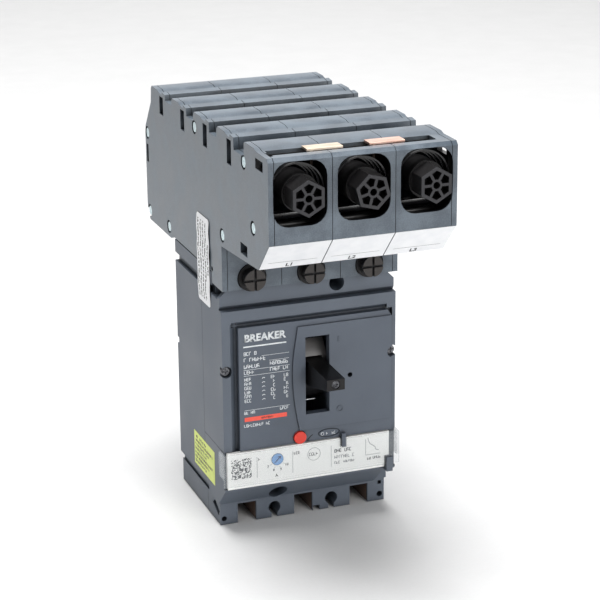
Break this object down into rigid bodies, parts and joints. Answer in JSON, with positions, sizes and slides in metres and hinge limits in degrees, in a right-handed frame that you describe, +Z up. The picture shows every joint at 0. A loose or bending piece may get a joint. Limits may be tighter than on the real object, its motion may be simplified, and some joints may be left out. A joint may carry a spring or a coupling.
{
  "type": "molded case breaker",
  "caption": "Molded case breaker with a toggle in its tripped position, an adjustable trip unit and a plug-on busbar adapter on its line end.",
  "frame": {"origin": "middle of the breaker case's rear mounting face", "axes": "+X to the right seen from the front, +Y back into the mounting plate, +Z up towards the line end"},
  "size_m": [0.1078, 0.237, 0.2425],
  "materials": {
    "case_grey": "fine moulded texture, satin",
    "plate_grey": "smooth moulded, satin",
    "adapter_grey": "fine spark-eroded texture",
    "white_panel": "printed white plastic",
    "clear_plastic": "clear moulded plastic",
    "blue_plastic": "moulded blue",
    "red_plastic": "moulded red",
    "black_plastic": "moulded black, satin",
    "shutter_grey": "light grey insulating sheet",
    "steel": "plated steel",
    "zinc_steel": "bright zinc-plated rivet",
    "brass": "plated brass",
    "copper": "copper",
    "fibre": "insulating fibre"
  },
  "bodies": {
    "breaker_body": {"base_case": "case_grey", "cover_case": "case_grey", "trip_unit_housing": "case_grey", "accessory_cover": "plate_grey", "trip_unit_panel": "white_panel", "mechanism_frame": "steel", "line_contact_1": "copper", "arc_chute_1": "fibre", "load_terminal_1": "copper", "bimetal_1": "steel", "line_module_1": "adapter_grey", "line_conductor_1": "copper", "line_contact_2": "copper", "arc_chute_2": "fibre", "load_terminal_2": "copper", "bimetal_2": "steel", "line_module_2": "adapter_grey", "line_conductor_2": "copper", "line_contact_3": "copper", "arc_chute_3": "fibre", "load_terminal_3": "copper", "bimetal_3": "steel", "line_module_3": "adapter_grey", "line_conductor_3": "copper", "end_plate_left": "adapter_grey", "end_plate_right": "adapter_grey", "tie_rivet_1": "zinc_steel", "tie_rivet_2": "zinc_steel", "tie_rivet_3": "zinc_steel", "tie_rivet_4": "zinc_steel", "tie_rivet_5": "zinc_steel", "tie_rivet_6": "zinc_steel", "tie_rivet_7": "zinc_steel", "link_clip_1": "brass", "link_clip_2": "copper"},
    "toggle": {"toggle_lever": "black_plastic", "toggle_screw": "steel", "toggle_shutter": "shutter_grey", "toggle_yoke": "steel"},
    "contacts": {"contact_shaft": "black_plastic", "moving_contact_1": "copper", "moving_contact_2": "copper", "moving_contact_3": "copper"},
    "trip_button": {"trip_button": "red_plastic"},
    "trip_bar": {"trip_bar": "black_plastic"},
    "thermal_dial": {"thermal_dial": "blue_plastic"},
    "clear_cover": {"clear_cover": "clear_plastic"},
    "cover_screw_left": {"cover_screw_left": "steel"},
    "cover_screw_right": {"cover_screw_right": "steel"},
    "clamp_bolt_1": {"clamp_bolt_1": "black_plastic"},
    "clamp_jaw_1": {"clamp_jaw_1": "brass"},
    "terminal_screw_1": {"terminal_screw_1": "black_plastic"},
    "clamp_bolt_2": {"clamp_bolt_2": "black_plastic"},
    "clamp_jaw_2": {"clamp_jaw_2": "brass"},
    "terminal_screw_2": {"terminal_screw_2": "black_plastic"},
    "clamp_bolt_3": {"clamp_bolt_3": "black_plastic"},
    "clamp_jaw_3": {"clamp_jaw_3": "brass"},
    "terminal_screw_3": {"terminal_screw_3": "black_plastic"}
  },
  "joints": [
    {"name": "toggle_swing", "type": "hinge", "parent": "breaker_body", "child": "toggle", "pos_m": [0.00375, -0.06, 0.0105], "axis": [-1, 0, 0], "range_deg": [-22, 22]},
    {"name": "contacts_turn", "type": "hinge", "parent": "breaker_body", "child": "contacts", "pos_m": [0, -0.036, -0.0065], "axis": [-1, 0, 0], "range_deg": [-14, 14]},
    {"name": "trip_button_push", "type": "slide", "parent": "breaker_body", "child": "trip_button", "axis": [0, 1, 0], "range_m": [0, 0.0025], "stiffness_N_per_m": 600, "springref_m": -0.001},
    {"name": "trip_bar_turn", "type": "hinge", "parent": "breaker_body", "child": "trip_bar", "pos_m": [0, -0.067, -0.037], "axis": [-1, 0, 0], "range_deg": [0, 14.4]},
    {"name": "dial_turn", "type": "hinge", "parent": "breaker_body", "child": "thermal_dial", "pos_m": [-0.0211, -0.084, -0.0377], "axis": [0, -1, 0], "range_deg": [-120, 120]},
    {"name": "clear_cover_open", "type": "hinge", "parent": "breaker_body", "child": "clear_cover", "pos_m": [0, -0.0887, -0.0503], "axis": [1, 0, 0], "range_deg": [0, 95]},
    {"name": "cover_screw_left_turn", "type": "hinge", "parent": "breaker_body", "child": "cover_screw_left", "pos_m": [-0.0502, -0.084, 0.0185], "axis": [0, -1, 0], "continuous": true},
    {"name": "cover_screw_right_turn", "type": "hinge", "parent": "breaker_body", "child": "cover_screw_right", "pos_m": [0.0502, -0.084, 0.0185], "axis": [0, -1, 0], "continuous": true},
    {"name": "clamp_bolt_1_turn", "type": "hinge", "parent": "breaker_body", "child": "clamp_bolt_1", "pos_m": [-0.035, -0.16, 0.1419], "axis": [0, -1, 0], "range_deg": [0, 864]},
    {"name": "clamp_jaw_1_slide", "type": "slide", "parent": "breaker_body", "child": "clamp_jaw_1", "axis": [0, -1, 0], "range_m": [0, 0.00301]},
    {"name": "terminal_screw_1_turn", "type": "hinge", "parent": "breaker_body", "child": "terminal_screw_1", "pos_m": [-0.035, -0.09, 0.0735], "axis": [0, -1, 0], "continuous": true},
    {"name": "clamp_bolt_2_turn", "type": "hinge", "parent": "breaker_body", "child": "clamp_bolt_2", "pos_m": [0, -0.16, 0.1419], "axis": [0, -1, 0], "range_deg": [0, 864]},
    {"name": "clamp_jaw_2_slide", "type": "slide", "parent": "breaker_body", "child": "clamp_jaw_2", "axis": [0, -1, 0], "range_m": [0, 0.00301]},
    {"name": "terminal_screw_2_turn", "type": "hinge", "parent": "breaker_body", "child": "terminal_screw_2", "pos_m": [0, -0.09, 0.0735], "axis": [0, -1, 0], "continuous": true},
    {"name": "clamp_bolt_3_turn", "type": "hinge", "parent": "breaker_body", "child": "clamp_bolt_3", "pos_m": [0.035, -0.16, 0.1419], "axis": [0, -1, 0], "range_deg": [0, 864]},
    {"name": "clamp_jaw_3_slide", "type": "slide", "parent": "breaker_body", "child": "clamp_jaw_3", "axis": [0, -1, 0], "range_m": [0, 0.00301]},
    {"name": "terminal_screw_3_turn", "type": "hinge", "parent": "breaker_body", "child": "terminal_screw_3", "pos_m": [0.035, -0.09, 0.0735], "axis": [0, -1, 0], "continuous": true}
  ],
  "couplings": [
    {"joint": "contacts_turn", "follows": "toggle_swing", "ratio": 0.63636},
    {"joint": "trip_bar_turn", "follows": "trip_button_push", "rad_per_m": 100},
    {"joint": "clamp_jaw_1_slide", "follows": "clamp_bolt_1_turn", "m_per_rad": 0.00019894},
    {"joint": "clamp_jaw_2_slide", "follows": "clamp_bolt_2_turn", "m_per_rad": 0.00019894},
    {"joint": "clamp_jaw_3_slide", "follows": "clamp_bolt_3_turn", "m_per_rad": 0.00019894}
  ]
}
